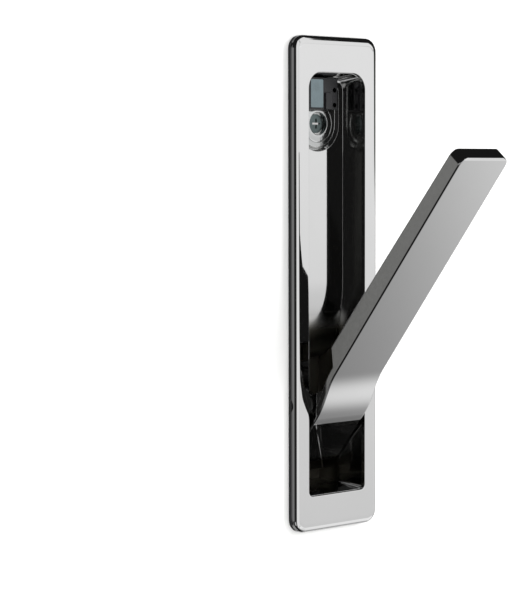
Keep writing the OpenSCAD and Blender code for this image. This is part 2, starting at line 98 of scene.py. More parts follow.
# %% Grids and outlines
def surface(grid, ends_meet=False):
    """A grid of points and its four-sided faces, as indices. Each row is a closed loop, and the
    last row joins the first one where the ends meet."""
    rows, cols = grid.shape[:2]
    i, j = np.meshgrid(np.arange(rows if ends_meet else rows - 1), np.arange(cols), indexing="ij")
    i2, j2 = (i + 1) % rows, (j + 1) % cols
    faces = np.stack([i * cols + j, i * cols + j2, i2 * cols + j2, i2 * cols + j], -1)
    return grid, faces.reshape(-1, 4)


def whole_turn(steps):
    """Angles evenly round a circle, without the repeated last one."""
    return np.radians(np.linspace(0, 360, steps + 1)[:-1])


def arc(x, y, r, start, end, steps):
    """Points of a circle round (x, y): x + r cos a, y + r sin a, with a in degrees."""
    a = np.radians(np.linspace(start, end, steps))
    return np.stack([x + r * np.cos(a), y + r * np.sin(a)], -1)


CORNER_STEPS, SHORT_STEPS, LONG_STEPS = 14, 6, 120


def rounded_outline(half_w, top, bottom, r_top, r_low):
    """Upright rectangle, x within half_w and height from bottom to top, as four arcs joined by
    evenly divided sides. Every outline has the same number of points, so outlines can be lofted."""
    arcs = [
        arc(half_w - r_top, top - r_top, r_top, 0, 90, CORNER_STEPS),
        arc(r_top - half_w, top - r_top, r_top, 90, 180, CORNER_STEPS),
        arc(r_low - half_w, bottom + r_low, r_low, 180, 270, CORNER_STEPS),
        arc(half_w - r_low, bottom + r_low, r_low, 270, 360, CORNER_STEPS),
    ]
    sides = [SHORT_STEPS, LONG_STEPS, SHORT_STEPS, LONG_STEPS]
    runs = []
    for k, steps in enumerate(sides):
        here, after = arcs[k], arcs[(k + 1) % 4]
        t = np.linspace(0, 1, steps + 2)[1:-1, None]
        runs += [here, here[-1] * (1 - t) + after[0] * t]
    return np.concatenate(runs)


def on_plate(outline, depth):
    """Sets a flat outline (x, height) at a depth behind the plate's front face, in frame axes."""
    depth = np.broadcast_to(depth, outline.shape[:1])
    return np.stack([outline[:, 0], FRONT_Y + depth, outline[:, 1]], -1)


print("points round an outline", len(rounded_outline(OPEN_W / 2, OPEN_H / 2, -OPEN_H / 2, 1, 1)))


# %% From parts to a piece
def merge_and_turn_outwards(piece):
    """Welds doubled points and turns every shell's faces outwards."""
    bm = bmesh.new()
    bm.from_mesh(piece.data)
    bmesh.ops.remove_doubles(bm, verts=bm.verts, dist=0.002 * MM)
    bmesh.ops.recalc_face_normals(bm, faces=bm.faces)
    bm.to_mesh(piece.data)
    bm.free()


def add_piece(name, parts, node_names, material, sharp=40.0, body="recess_frame"):
    """Joins (points, faces) parts in millimetres into one object that rides on a body. A part's
    faces are one array, or a list of them where their numbers of sides differ."""
    points, faces, start = [], [], 0
    for part_points, part_faces in parts:
        points.append(part_points.reshape(-1, 3))
        for same_sided in part_faces if isinstance(part_faces, list) else [part_faces]:
            faces += (same_sided + start).tolist()
        start += len(points[-1])
    mesh = bpy.data.meshes.new(name)
    mesh.from_pydata(np.concatenate(points) * MM, [], faces)
    piece = bpy.data.objects.new(name, mesh)
    bpy.context.scene.collection.objects.link(piece)
    mesh.materials.append(material)
    merge_and_turn_outwards(piece)
    mesh.polygons.foreach_set("use_smooth", np.ones(len(mesh.polygons), bool))
    mesh.set_sharp_from_angle(angle=math.radians(sharp))
    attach(piece, body)
    if node_names:
        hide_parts(*node_names)
    print(name, len(mesh.vertices), "points", len(mesh.polygons), "faces")
    return piece


# %% [markdown]
# ## Finishes
# Chrome plating is a mirror, but a real casting under it is never perfectly flat: its polish leaves
# a faint waviness about a centimetre long, and the plating has a little haze. So the shader is a
# nearly smooth metal whose roughness wanders slightly and whose bump is far below what one sees
# directly. Steel, plastic and rubber parts get their own grain at their own scale.

# %% Helpers for node trees
def new_material(name):
    """A material, the nodes of its tree and their links."""
    material = bpy.data.materials.new(name)
    material.use_nodes = True
    return material, material.node_tree.nodes, material.node_tree.links


def noise_node(nodes, links, scale, detail=2.0, stretch=(1, 1, 1)):
    """Noise on Object coordinates; scale is in waves per metre, stretch slows it along an axis."""
    coords = nodes.new("ShaderNodeTexCoord")
    mapping = nodes.new("ShaderNodeMapping")
    mapping.inputs["Scale"].default_value = stretch
    noise = nodes.new("ShaderNodeTexNoise")
    noise.inputs["Scale"].default_value = scale
    noise.inputs["Detail"].default_value = detail
    links.new(coords.outputs["Object"], mapping.inputs["Vector"])
    links.new(mapping.outputs["Vector"], noise.inputs["Vector"])
    return noise.outputs["Fac"]


def ranged(nodes, links, source, start, end, low, high, kind="LINEAR"):
    """Maps a value from start..end to low..high, and holds it beyond either end."""
    node = nodes.new("ShaderNodeMapRange")
    node.interpolation_type = kind
    for name, value in (("From Min", start), ("From Max", end), ("To Min", low), ("To Max", high)):
        node.inputs[name].default_value = value
    links.new(source, node.inputs["Value"])
    return node.outputs["Result"]


def tint(nodes, links, factor, colour_a, colour_b):
    """Mixes two colours by a factor. The first one is a colour or a socket."""
    mix = nodes.new("ShaderNodeMix")
    mix.data_type = "RGBA"
    (a,), (b,) = ([s for s in mix.inputs if s.name == side and s.type == "RGBA"] for side in "AB")
    if isinstance(colour_a, tuple):
        a.default_value = (*colour_a, 1)
    else:
        links.new(colour_a, a)
    b.default_value = (*colour_b, 1)
    links.new(factor, mix.inputs[0])
    return next(s for s in mix.outputs if s.type == "RGBA")


def add_bump(nodes, links, height, distance):
    """Raises the surface by a height value, up to a distance in millimetres, on top of the bumps
    that its shader has so far."""
    normal = nodes["Principled BSDF"].inputs["Normal"]
    bump = nodes.new("ShaderNodeBump")
    bump.inputs["Strength"].default_value = 1.0
    bump.inputs["Distance"].default_value = distance * MM
    links.new(height, bump.inputs["Height"])
    if normal.links:
        links.new(normal.links[0].from_socket, bump.inputs["Normal"])
    links.new(bump.outputs["Normal"], normal)


# %% Metal, plastic and rubber
NOISE_LOW, NOISE_HIGH = 0.3, 0.7


def metal(name, colour_a, colour_b, rough, wave, grain, stretch=(1, 1, 1)):
    """Metal whose roughness and tint wander, with a long wave and a fine grain as its bump. Wave
    and grain are each a scale in waves per metre and a depth in millimetres."""
    material, nodes, links = new_material(name)
    shader = nodes["Principled BSDF"]
    shader.inputs["Metallic"].default_value = 1.0
    waves = noise_node(nodes, links, wave[0])
    grains = noise_node(nodes, links, grain[0], 3.0, stretch)
    links.new(tint(nodes, links, waves, colour_a, colour_b), shader.inputs["Base Color"])
    links.new(ranged(nodes, links, grains, NOISE_LOW, NOISE_HIGH, *rough), shader.inputs["Roughness"])
    add_bump(nodes, links, waves, wave[1])
    add_bump(nodes, links, grains, grain[1])
    return material


def moulded(name, colour_a, colour_b, rough, grain):
    """Plastic or rubber: two close tones, a fine moulded grain and a broken gloss."""
    material, nodes, links = new_material(name)
    shader = nodes["Principled BSDF"]
    grains = noise_node(nodes, links, grain[0], 4.0)
    links.new(tint(nodes, links, grains, colour_a, colour_b), shader.inputs["Base Color"])
    links.new(ranged(nodes, links, grains, NOISE_LOW, NOISE_HIGH, *rough), shader.inputs["Roughness"])
    add_bump(nodes, links, grains, grain[1])
    return material


# %% The finishes
bright_chrome = metal("bright_chrome", (0.82, 0.82, 0.82), (0.80, 0.80, 0.80), (0.02, 0.05),
                      (60, 0.004), (900, 0.0002))
recess_chrome = metal("recess_chrome", (0.81, 0.81, 0.81), (0.78, 0.78, 0.78), (0.03, 0.06),
                      (90, 0.004), (900, 0.0001))
# Two darker copies of the chrome carry painted shade for the side walls that face each other
shade_dimmed_chrome = metal("shade_dimmed_chrome", (0.52, 0.52, 0.51), (0.46, 0.46, 0.45), (0.07, 0.14),
                    (90, 0.004), (900, 0.0002))
shaded_chrome = metal("shaded_chrome", (0.07, 0.07, 0.065), (0.05, 0.05, 0.05), (0.30, 0.45),
                      (90, 0.004), (900, 0.0002))
cast_chrome = metal("cast_chrome", (0.80, 0.80, 0.78), (0.70, 0.70, 0.68), (0.04, 0.12),
                    (500, 0.006), (1400, 0.0012))
zinc_plate = metal("zinc_plate", (0.66, 0.68, 0.69), (0.58, 0.60, 0.61), (0.18, 0.32),
                   (150, 0.01), (2500, 0.003))
screw_steel = metal("screw_steel", (0.17, 0.21, 0.21), (0.12, 0.15, 0.15), (0.24, 0.38),
                    (200, 0.004), (2500, 0.002))
turned_steel = metal("turned_steel", (0.55, 0.56, 0.57), (0.48, 0.49, 0.50), (0.15, 0.30),
                     (200, 0.002), (2500, 0.002), (0.1, 1, 1))
nickel = metal("nickel", (0.27, 0.34, 0.37), (0.19, 0.23, 0.24), (0.14, 0.26),
               (260, 0.008), (2500, 0.001))
black_plastic = moulded("black_plastic", (0.012, 0.012, 0.014), (0.022, 0.022, 0.024),
                        (0.32, 0.48), (4000, 0.004))
black_rubber = moulded("black_rubber", (0.014, 0.014, 0.015), (0.026, 0.026, 0.028),
                       (0.55, 0.75), (3000, 0.008))
black_nylon = moulded("black_nylon", (0.022, 0.022, 0.022), (0.034, 0.034, 0.034),
                      (0.36, 0.50), (2500, 0.003))
print("materials", [m.name for m in bpy.data.materials])

# %% [markdown]
# The deep, narrow chamber lies in shade, and that shade is painted into its chrome: the two finishes
# of the recess turn dark, rougher, warm-toned and less of a metal with the depth behind the plate's
# front, which is the Y of the Object coordinates.

# %% Painted shade of the deep chamber
# Painted shade of the deep chamber: where it sets in and is full, and its dark warm colour
SHADE_FROM, SHADE_TO = 11.0, 14.0
LESS_METAL_FROM, LESS_METAL_TO = 15.0, 19.0
SHADE_COLOUR, DULL_ROUGHNESS, DULL_METALLIC = (0.12, 0.112, 0.09), 0.30, 0.6


def paint_shade_with_depth(material):
    """Paints shade into a finish: dark and rougher between two depths, and less of a metal between two
    more.
    """
    nodes, links = material.node_tree.nodes, material.node_tree.links
    sockets = nodes["Principled BSDF"].inputs
    coords = nodes.new("ShaderNodeTexCoord")
    axes = nodes.new("ShaderNodeSeparateXYZ")
    links.new(coords.outputs["Object"], axes.inputs[0])
    shade_ends = [(FRONT_Y + depth) * MM for depth in (SHADE_FROM, SHADE_TO)]
    less_metal_ends = [(FRONT_Y + depth) * MM for depth in (LESS_METAL_FROM, LESS_METAL_TO)]
    shade_share = ranged(nodes, links, axes.outputs["Y"], *shade_ends, 0, 1, "SMOOTHSTEP")
    colour = tint(nodes, links, shade_share, sockets["Base Color"].links[0].from_socket, SHADE_COLOUR)
    roughness = nodes.new("ShaderNodeMix")
    roughness.inputs[3].default_value = DULL_ROUGHNESS
    links.new(shade_share, roughness.inputs[0])
    links.new(sockets["Roughness"].links[0].from_socket, roughness.inputs[2])
    links.new(colour, sockets["Base Color"])
    links.new(roughness.outputs[0], sockets["Roughness"])
    links.new(ranged(nodes, links, axes.outputs["Y"], *less_metal_ends, 1, DULL_METALLIC), sockets["Metallic"])


# Both finishes of the recess get the painted shade
for finish in (recess_chrome, shade_dimmed_chrome):
    paint_shade_with_depth(finish)
    print(finish.name, "fades from", SHADE_FROM, "mm behind the front")

# %% [markdown]
# ## Face plate
# The plate is a flat, polished frame with a soft outer edge, a skirt that stands off the wall, and a
# hollow back. Its profile is one closed path, from the opening's inner wall over the front and down
# the skirt and back inside. Each point of the path says which outline it follows, so the frame is a
# loft of rounded outlines along that path.

# %% Face plate surface
OUTER_EDGE = {"blend": 1.4, "lean": 4.0, "chamfer": 0.9, "angle": 20.0, "r": 1.5}
OPENING_EDGE = {"blend": 0.3, "lean": 3.0, "chamfer": 0.1, "angle": 7.0, "r": 0.12}
EASE = 0.12
SMALLEST_R = 0.3


def plate_ring(inset, depth):
    """Outer outline drawn in by inset, its corner radius shrinking with it."""
    half_w, half_h = PLATE_W / 2 - inset, PLATE_H / 2 - inset
    r = max(PLATE_CORNER - inset, SMALLEST_R)
    return on_plate(rounded_outline(half_w, half_h, -half_h, r, r), depth)


def opening_ring(grow, depth):
    """Opening's outline let out by grow."""
    half_w, half_h = OPEN_W / 2 + grow, OPEN_H / 2 + grow
    outline = rounded_outline(half_w, half_h, -half_h, OPEN_TOP_R + grow, OPEN_LOW_R + grow)
    return on_plate(outline, depth)


def soft_edge(blend, lean, chamfer, angle, r):
    """Inset and depth along an edge, from the flat front out to the wall: a parabola whose slope
    grows to lean over the blend's width, a straight chamfer at the angle, and an arc of radius r
    from there into the wall."""
    a, small = math.radians(angle), math.tan(math.radians(lean))
    foot = r * (1 - math.sin(a))
    t = np.linspace(0, 1, 7)
    run = np.stack([foot + chamfer + blend * (1 - t), small * blend / 2 * t ** 2], -1)
    t = np.linspace(0, 1, 5)[1:]
    flat = np.stack([foot + chamfer * (1 - t), run[-1, 1] + math.tan(a) * chamfer * t], -1)
    turn = np.linspace(a, math.pi / 2, 13)[1:]
    round_off = np.stack([r * (1 - np.sin(turn)), flat[-1, 1] + r * (math.cos(a) - np.cos(turn))], -1)
    return np.concatenate([run, flat, round_off])


def plate_rings():
    """Loops round the plate's section: opening wall, opening edge, flat front, outer edge, skirt,
    and the hollow back."""
    opening, outer = soft_edge(**OPENING_EDGE), soft_edge(**OUTER_EDGE)
    rings = [opening_ring(0, d) for d in (PLATE_WALL, PLATE_WALL - EASE, opening[-1, 1] + EASE)]
    rings += [opening_ring(grow, depth) for grow, depth in opening[::-1]]
    rings += [opening_ring(opening[0, 0] + EASE, 0), plate_ring(outer[0, 0] + EASE, 0)]
    rings += [plate_ring(inset, depth) for inset, depth in outer]
    rings += [plate_ring(inset, depth) for inset, depth in (
        (0, outer[-1, 1] + EASE), (0, SKIRT_DEPTH - EASE), (EASE, SKIRT_DEPTH),
        (SKIRT_WALL - EASE, SKIRT_DEPTH), (SKIRT_WALL, SKIRT_DEPTH - EASE), (SKIRT_WALL, PLATE_WALL))]
    return np.stack(rings)


def boss(x, z):
    """A turned profile round an axis along the depth: outer wall, end, and a blind hole."""
    r, depth = np.array([
        [0, BOSS_R, BOSS_R, BOSS_HOLE_R, BOSS_HOLE_R, 0],
        [BOSS_START, BOSS_START, BOSS_END, BOSS_END, BOSS_BLIND, BOSS_BLIND]])[..., None]
    a = whole_turn(32)
    return surface(np.stack([x + r * np.cos(a), FRONT_Y + depth + 0 * a, z + r * np.sin(a)], -1))


BOSS_X, BOSS_Z = 9.0, 82.5
BOSS_R, BOSS_HOLE_R = 3.5, 1.48
BOSS_START, BOSS_END, BOSS_BLIND = PLATE_WALL - 0.1, 6.0, 2.47
plate_parts = [surface(plate_rings(), ends_meet=True)]
plate_parts += [boss(x, z) for x in (-BOSS_X, BOSS_X) for z in (-BOSS_Z, BOSS_Z)]
plate = add_piece("plate", plate_parts, ["face_plate"], bright_chrome)

# %% [markdown]
# The skirt has a half-round notch on each side, where the pin's ends were pressed in. A round bar
# through both sides cuts them, with the boolean applied at once so that the piece stays a plain mesh.

# %% Notches for the pin
NOTCH_R = 2.8


def bar_along_x(radius, half_length):
    """A closed round bar along X round the pin's axis, used as a cutter."""
    a = whole_turn(96)
    x = np.array([-half_length, -half_length, half_length, half_length])[:, None]
    r = np.array([0, radius, radius, 0])[:, None]
    return surface(np.stack([x + 0 * a, PIVOT[1] + r * np.cos(a), PIVOT[2] + r * np.sin(a)], -1))


def cut_with(piece, part):
    """Cuts a closed part, in millimetres, out of a piece, and applies the cut."""
    points, faces = part
    mesh = bpy.data.meshes.new("cutter")
    mesh.from_pydata(points.reshape(-1, 3) * MM, [], faces.tolist())
    cutter = bpy.data.objects.new("cutter", mesh)
    bpy.context.scene.collection.objects.link(cutter)
    merge_and_turn_outwards(cutter)
    cut = piece.modifiers.new("cut", "BOOLEAN")
    cut.object, cut.operation, cut.solver = cutter, "DIFFERENCE", "EXACT"
    with bpy.context.temp_override(object=piece, active_object=piece, selected_objects=[piece]):
        bpy.ops.object.modifier_apply(modifier=cut.name)
    bpy.data.objects.remove(cutter)
    piece.data.set_sharp_from_angle(angle=math.radians(40))


cut_with(plate, bar_along_x(NOTCH_R, PLATE_W))
print("plate after the cut", len(plate.data.polygons), "faces")

# %% [markdown]
# The side walls of the opening and of the recess face each other, and two mirrors face to face hand
# one streak of light on and on. They also lie in shade, and that shade is painted: the walls on the
# left, which only other views show, get a dark, rough copy of the chrome, and those on the right a
# dimmer chrome. A face's normal tells which way it looks.

# %% Painted shade on the side walls
SIDEWAYS = 0.7
OPENING_REACH = OPEN_W / 2 + 0.3


def finish_by_side(piece, facing, within, looks_left, looks_right):
    """Gives the faces within a distance of the middle that look to -X or to +X, by more than
    facing, finishes of their own."""
    normals, centres = (np.empty(len(piece.data.polygons) * 3) for _ in range(2))
    piece.data.polygons.foreach_get("normal", normals)
    piece.data.polygons.foreach_get("center", centres)
    x = normals[::3] * (np.abs(centres[::3]) < within * MM)
    piece.data.materials.append(looks_left)
    piece.data.materials.append(looks_right)
    index = np.where(x < -facing, 1, np.where(x > facing, 2, 0))
    piece.data.polygons.foreach_set("material_index", index)
    print(piece.name, "faces by finish", np.bincount(index))


# Painted shade: the opening's side walls take the two darker copies of the chrome
finish_by_side(plate, SIDEWAYS, OPENING_REACH, shade_dimmed_chrome, shaded_chrome)

# %% [markdown]
# ## Recess housing
# Behind the plate the casting is a deep tub: walls that lean in a little, a small blend into a
# shallow floor, and a curve that takes the floor down into the deep chamber where the lever's tail
# swings. The floor's depth is a function of height alone, and each wall follows it, so one rule
# gives the whole inside. The outside is the same rule, one wall thickness further out.

# %% Housing surface
WALL = 1.5
MOUTH_GAP = 0.35
MOUTH_W, MOUTH_TOP = OPEN_W - 2 * MOUTH_GAP, OPEN_H / 2 - MOUTH_GAP
# The wall starts nearly under the plate's edge, so that no ledge shows between the two
LEDGE_FILL = 0.3
DRAFT, BLEND = 0.95 + LEDGE_FILL, 0.2
BACK_R, RIM_STEP = 0.6, 0.3
SHALLOW, DEEP = 10.6, 24.2
DEEP_Z = -OPEN_H / 2 + 48.6
RAMP_H = 29.4


def floor_depth(z):
    """Depth of the floor at a height: shallow above, deep below, and a quarter ellipse between."""
    t = np.clip((z - DEEP_Z) / RAMP_H, 0, 1)
    return SHALLOW + (DEEP - SHALLOW) * (1 - np.sqrt(np.clip(1 - (1 - t) ** 2, 0, 1)))


def inward(outline):
    """Unit normals of a closed outline, pointing to its inside."""
    step = np.roll(outline, -1, 0) - np.roll(outline, 1, 0)
    step /= np.linalg.norm(step, axis=1, keepdims=True)
    return np.stack([-step[:, 1], step[:, 0]], -1)


def housing_inside():
    """Loops from the mouth down the leaning wall, round the blend and in over the floor."""
    half_w, top = MOUTH_W / 2 + LEDGE_FILL, MOUTH_TOP + LEDGE_FILL
    mouth = rounded_outline(half_w, top, -top, OPEN_TOP_R, OPEN_LOW_R)
    turn = inward(mouth)
    loops = []
    for t in (0, 0.02, 0.2, 0.4, 0.6, 0.8, 0.97, 1.0):
        foot = mouth + turn * DRAFT
        depth = PLATE_WALL + (floor_depth(foot[:, 1]) - BLEND - PLATE_WALL) * t
        lean = DRAFT * np.clip((depth - PLATE_WALL) / (SHALLOW - BLEND - PLATE_WALL), 0, 1)
        loops.append(on_plate(mouth + turn * lean[:, None], depth))
    for a in np.radians((15, 30, 45, 60, 75, 90)):
        foot = mouth + turn * (DRAFT + BLEND * (1 - math.cos(a)))
        loops.append(on_plate(foot, floor_depth(foot[:, 1]) - BLEND * (1 - math.sin(a))))
    rim = mouth + turn * (DRAFT + BLEND)
    reach = half_w - DRAFT - BLEND
    ends = rim[:, 1].min() + reach, rim[:, 1].max() - reach
    spine = np.stack([0 * rim[:, 0], np.clip(rim[:, 1], *ends)], -1)
    for t in (0.02, 0.15, 0.3, 0.45, 0.6, 0.75, 0.9, 1.0):
        foot = rim * (1 - t) + spine * t
        loops.append(on_plate(foot, floor_depth(foot[:, 1])))
    return np.stack(loops)


def housing_outside():
    """Loops from the middle of the back out to its edge, and forward to the rim."""
    half_w, top = MOUTH_W / 2 + WALL, MOUTH_TOP + WALL
    edge = rounded_outline(half_w, top, -top, OPEN_TOP_R + WALL, OPEN_LOW_R + WALL)
    spine = np.stack([0 * edge[:, 0], np.clip(edge[:, 1], -top + half_w, top - half_w)], -1)
    loops = []
    for t in (0.0, 0.25, 0.5, 0.75, 0.97):
        foot = spine * (1 - t) + edge * t
        loops.append(on_plate(foot, floor_depth(foot[:, 1] - WALL) + WALL))
    turn = inward(edge)
    for a in np.radians((90, 60, 30, 0)):
        foot = edge + turn * (BACK_R * (1 - math.cos(a)))
        loops.append(on_plate(foot, floor_depth(foot[:, 1] - WALL) + WALL - BACK_R * (1 - math.sin(a))))
    loops.append(on_plate(edge, PLATE_WALL + RIM_STEP))
    loops.append(on_plate(edge, PLATE_WALL))
    return np.stack(loops)


def block(low, high):
    """A closed box between two corners, in frame axes."""
    pick = np.array([[x, y, z] for x in (0, 1) for y in (0, 1) for z in (0, 1)])
    points = np.where(pick == 1, np.array(high), np.array(low))
    faces = np.array([[0, 1, 3, 2], [4, 6, 7, 5], [0, 4, 5, 1], [2, 3, 7, 6], [0, 2, 6, 4], [1, 5, 7, 3]])
    return points, faces


LUG_T, LUG_HALF_W, LUG_OUT = 1.5, 3.5, 83.5
LIP_HALF_W, LIP_Y, LIP_T = 8.0, 18.0, 2.0
ROOT = MOUTH_TOP + 0.5
lug_y = FRONT_Y + BOSS_END
housing_parts = [surface(np.concatenate([housing_outside(), housing_inside()]))]
for x in (-BOSS_X, BOSS_X):
    for low, high in ((-LUG_OUT, -ROOT), (ROOT, LUG_OUT)):
        housing_parts.append(block((x - LUG_HALF_W, lug_y, low), (x + LUG_HALF_W, lug_y + LUG_T, high)))
housing_parts.append(block((-LIP_HALF_W, LIP_Y, housing_low[2]), (LIP_HALF_W, LIP_Y + LIP_T, -ROOT)))
housing = add_piece("housing", housing_parts, ["recess_housing"], recess_chrome, 35)

# %% [markdown]
# High on the shallow floor the casting has a pocket for the fixing plate: round below, with two
# corners above, and walls that lean in. The floor is opened along its outline, and a tray with the
# leaning wall is set flush into the opening. Every outline round the fixing screw is given as a
# distance from the screw's axis for each direction, so all of them have the same points.

# %% Fixing pocket
FIX_Z = OPEN_H / 2 - 18.2
# The solid's walls lean in by 1.0 and blend into the floor over 1.2
FLOOR_EDGE = 1.0 + 1.2
POCKET_R = MOUTH_W / 2 - FLOOR_EDGE - 1.0
POCKET_TOP = MOUTH_TOP - FLOOR_EDGE - 0.15
POCKET_TOP_R = 4.5
POCKET_D, POCKET_LEAN, POCKET_RIM = 1.5, 1.4, 0.1
SEAT = SHALLOW + POCKET_D
TURN = whole_turn(240)


def pocket_reach(inset):
    """Distance from the screw's axis to the pocket's outline, drawn in by inset: a circle below,
    and above it straight sides, a straight top and two round corners."""
    c, s = np.cos(TURN), np.sin(TURN)
    side, top, r = POCKET_R - inset, POCKET_TOP - FIX_Z - inset, POCKET_TOP_R - inset
    box = np.minimum(side / np.maximum(np.abs(c), 1e-6), top / np.maximum(s, 1e-6))
    cx, cz = side - r, top - r
    along = np.abs(c) * cx + s * cz
    inside_root = np.clip(along ** 2 - (cx ** 2 + cz ** 2 - r ** 2), 0, None)
    corner = along + np.sqrt(inside_root)
    in_corner = (np.abs(c) * box > cx) & (s * box > cz)
    reach = np.where(in_corner, np.minimum(box, corner), box)
    return np.where(s > 0, reach, side)


def round_axis(radii, depths):
    """Loops round the fixing screw's axis; each radius is a number or one per direction."""
    loops = []
    for r, depth in zip(radii, depths):
        loops.append(on_plate(np.stack([r * np.cos(TURN), FIX_Z + r * np.sin(TURN)], -1), depth + 0 * TURN))
    return np.stack(loops)


rim = pocket_reach(-POCKET_RIM)
above_floor, below_floor = SHALLOW - WALL, SHALLOW + 2 * WALL
through = round_axis([0, rim, rim, 0], [above_floor, above_floor, below_floor, below_floor])
cut_with(housing, surface(through))
# Painted shade on the recess's side walls, as on the opening's
finish_by_side(housing, SIDEWAYS, PLATE_W, shade_dimmed_chrome, shaded_chrome)
rim_turn = np.radians(np.linspace(90, 43, 6))
rim_in, rim_down = POCKET_RIM * np.cos(rim_turn), POCKET_RIM * (1 - np.sin(rim_turn))
tray = round_axis(
    [0, rim, rim, *(rim - step for step in rim_in), pocket_reach(POCKET_LEAN), 0],
    [SEAT + WALL, SEAT + WALL, SHALLOW, *(SHALLOW + rim_down), SEAT, SEAT])
add_piece("fixing_pocket", [surface(tray)], [], recess_chrome, 35)

# %% [markdown]
# The pin's seats are short round pads on both sides of each wall. They are turned pieces with a hole,
# cut flat where they meet the plate.

# %% Pin seats
PAD_R, PIN_HOLE_R, PIN_PAD_OUT = 4.2, 2.03, 16.0
SEAT_X = MOUTH_W / 2 - 0.9


def pad(side):
    """A ring round the pin from the chamber's wall to the pad's outer face, flat on its front."""
    a = whole_turn(64)
    reach = np.minimum(PAD_R, (PIVOT[1] - FRONT_Y - PLATE_WALL) / np.maximum(np.cos(a), 1e-6))
    reach = np.where(np.cos(a) > 0, reach, PAD_R)
    x = np.array([SEAT_X, SEAT_X, PIN_PAD_OUT, PIN_PAD_OUT])
    r = np.stack([PIN_HOLE_R + 0 * a, reach, reach, PIN_HOLE_R + 0 * a])
    ring = np.stack([side * x[:, None] + 0 * a, PIVOT[1] - r * np.cos(a), PIVOT[2] + r * np.sin(a)], -1)
    return surface(ring, ends_meet=True)


add_piece("pin_seats", [pad(-1), pad(1)], [], recess_chrome)

# %% [markdown]
# ## Lever
# The lever is the eye-catcher: a thick, slightly tapering arm whose front runs in one smooth S into a
# thin proud tail. It is drawn folded, as a stack of rounded sections along its length, with the
# front, the back and the width each a function of height above the pin. Then it is swung out by
# the open angle about the pin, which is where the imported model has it.

# %% Lever surface
OPEN_GAP = 1.9
ARM_REACH = OPEN_H / 2 - PIVOT[2] - OPEN_GAP
TAIL_REACH = 29.1
TIP_FRONT, ROOT_FRONT, TAIL_FRONT = 2.9, 4.6, 7.9
TIP_BACK, ROOT_BACK = 2.8, 3.5
BEND_TOP, BEND_H = 20.0, 20.0
TAIL_T = 2.9
HEEL_BACK, HEEL_FRONT = 25.7, 20.8
TIP_W, ROOT_W, TAIL_W = 23.1, 23.9, 24.4
TIP_R, TAIL_R = 3.3, 1.2
EDGE_R, END_R = 0.55, 0.9
END_DRAW, FLAT_RIM = 0.4, 0.05


def smooth_step(t):
    """Half a cosine wave from 0 to 1."""
    return (1 - np.cos(np.pi * np.clip(t, 0, 1))) / 2


def front_at(z):
    """Front of the lever ahead of the pin: straight arm, S-bend, straight tail."""
    arm = ROOT_FRONT + (TIP_FRONT - ROOT_FRONT) * np.clip((z - BEND_TOP) / (ARM_REACH - BEND_TOP), 0, 1)
    return arm + (TAIL_FRONT - ROOT_FRONT) * smooth_step((BEND_TOP - z) / BEND_H)


def back_at(z):
    """Back of the lever: the thin curved plate below, the heel's slant, and the thick arm above."""
    thin = front_at(z) - TAIL_T
    thick = -(ROOT_BACK + (TIP_BACK - ROOT_BACK) * (z - HEEL_BACK) / (ARM_REACH - HEEL_BACK))
    slant = np.clip((z - HEEL_FRONT) / (HEEL_BACK - HEEL_FRONT), 0, 1)
    return thin * (1 - slant) + thick * slant


def half_width_at(z):
    """Half the plan's width, with round corners at the tip and the tail's end."""
    w = np.interp(z, [-TAIL_REACH, BEND_TOP, ARM_REACH], [TAIL_W / 2, ROOT_W / 2, TIP_W / 2])
    tip = np.clip((z - (ARM_REACH - TIP_R)) / TIP_R, 0, 1)
    tail = np.clip(((TAIL_R - TAIL_REACH) - z) / TAIL_R, 0, 1)
    return w - TIP_R * (1 - np.sqrt(1 - tip ** 2)) - TAIL_R * (1 - np.sqrt(1 - tail ** 2))


def lever_sections():
    """Rounded sections along the lever. A section is a rectangle of half width w between back and
    front, its corners rounded by EDGE_R; near both ends it also draws in, which rounds the ends.
    A point close beside each corner keeps the flat sides' shading flat."""
    tail_turn = np.radians(np.linspace(0, 90, 6))
    tip_turn = np.radians(np.linspace(0, 90, 9))
    stations = np.concatenate([
        -TAIL_REACH + EDGE_R * (1 - np.sin(tail_turn[::-1])),
        np.linspace(-TAIL_REACH + EDGE_R, TAIL_R - TAIL_REACH, 6)[1:],
        np.linspace(TAIL_R - TAIL_REACH, HEEL_FRONT - 0.5, 60)[1:],
        np.linspace(HEEL_FRONT - 0.5, HEEL_BACK + 0.5, 20)[1:],
        np.linspace(HEEL_BACK + 0.5, ARM_REACH - TIP_R, 40)[1:],
        ARM_REACH - TIP_R + TIP_R * np.sin(np.radians(np.linspace(0, 60, 10)))[1:],
    ])
    stations = stations[stations < ARM_REACH - END_R]
    stations = np.concatenate([stations, ARM_REACH - END_R * (1 - np.sin(tip_turn))])
    draw_in = np.where(
        stations > ARM_REACH - END_R,
        END_R * (1 - np.sqrt(np.clip(1 - ((stations - ARM_REACH + END_R) / END_R) ** 2, 0, 1))),
        np.where(
            stations < EDGE_R - TAIL_REACH,
            EDGE_R * (1 - np.sqrt(np.clip(1 - ((EDGE_R - TAIL_REACH - stations) / EDGE_R) ** 2, 0, 1))), 0))
    w = half_width_at(stations) - draw_in * END_DRAW
    front, back = front_at(stations) - draw_in, back_at(stations) + draw_in
    middle, half_t = (front + back) / 2, (front - back) / 2
    r = np.minimum(EDGE_R, half_t * 0.98)
    ring = []
    for k, (sx, sn) in enumerate(((1, 1), (-1, 1), (-1, -1), (1, -1))):
        a = np.radians(90 * k + np.linspace(0, 90, 7))
        corner = np.stack([
            sx * (w - r)[:, None] + r[:, None] * np.cos(a),
            (middle + sn * (half_t - r))[:, None] + r[:, None] * np.sin(a)], -1)
        before = np.array([math.sin(a[0]), -math.cos(a[0])]) * FLAT_RIM
        after = np.array([-math.sin(a[-1]), math.cos(a[-1])]) * FLAT_RIM
        ring += [corner[:, :1] + before, corner, corner[:, -1:] + after]
    ring = np.concatenate(ring, 1)
    return np.concatenate([ring, np.broadcast_to(stations[:, None, None], ring.shape[:2] + (1,))], -1)


